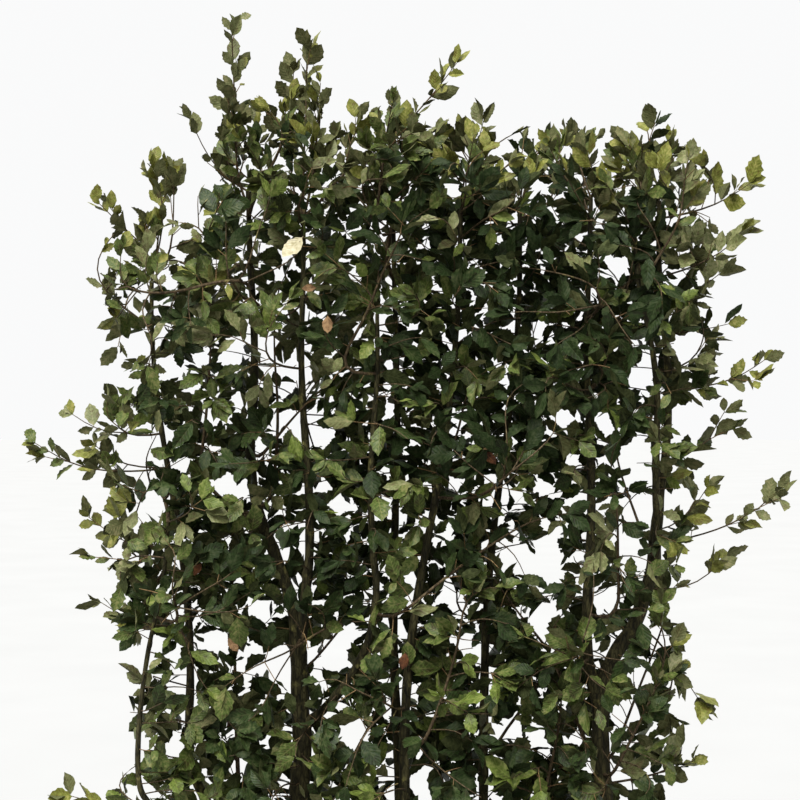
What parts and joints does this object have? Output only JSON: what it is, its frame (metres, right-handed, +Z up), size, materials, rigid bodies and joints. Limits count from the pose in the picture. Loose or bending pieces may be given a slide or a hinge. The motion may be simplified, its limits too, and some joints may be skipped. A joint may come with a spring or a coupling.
{
  "type": "holm oak screen tree",
  "caption": "Evergreen holm oak trained as a tall flat leafy screen, with many slender upright stems rising from one low flared trunk and long loose shoots round its edge.",
  "frame": {"origin": "middle of the flat cut under the trunk, at ground level", "axes": "+X along the screen to its right side seen from the front, +Y through it to the back, +Z up"},
  "size_m": [1.7344, 0.4912, 2.3048],
  "materials": {
    "bark": "rough",
    "leaves": "satin"
  },
  "bodies": {
    "root": {"bough_far_left": "bark", "bough_front": "bark", "bough_left_inner": "bark", "bough_left_upper": "bark", "bough_right_back": "bark", "bough_right_front": "bark", "bough_right_inner": "bark", "bough_right_outer": "bark", "foliage_1_1": "leaves", "foliage_1_2": "leaves", "foliage_1_3": "leaves", "foliage_1_4": "leaves", "foliage_1_5": "leaves", "foliage_2_1": "leaves", "foliage_2_2": "leaves", "foliage_2_3": "leaves", "foliage_2_4": "leaves", "foliage_2_5": "leaves", "foliage_3_1": "leaves", "foliage_3_2": "leaves", "foliage_3_3": "leaves", "foliage_3_4": "leaves", "foliage_3_5": "leaves", "foliage_4_1": "leaves", "foliage_4_2": "leaves", "foliage_4_3": "leaves", "foliage_4_4": "leaves", "foliage_4_5": "leaves", "shoot_corner_left": "leaves", "shoot_left_foot": "leaves", "shoot_left_high": "leaves", "shoot_left_low": "leaves", "shoot_left_middle": "leaves", "shoot_right_high": "leaves", "shoot_right_low": "leaves", "shoot_right_middle": "leaves", "shoot_right_top": "leaves", "shoot_top_left": "leaves", "shoot_top_middle": "leaves", "shoot_top_second": "leaves", "stem_inner": "bark", "stem_left": "bark", "stem_middle": "bark", "stem_middle_right": "bark", "stem_outer_left": "bark", "stem_right": "bark", "trunk": "bark"}
  },
  "joints": []
}
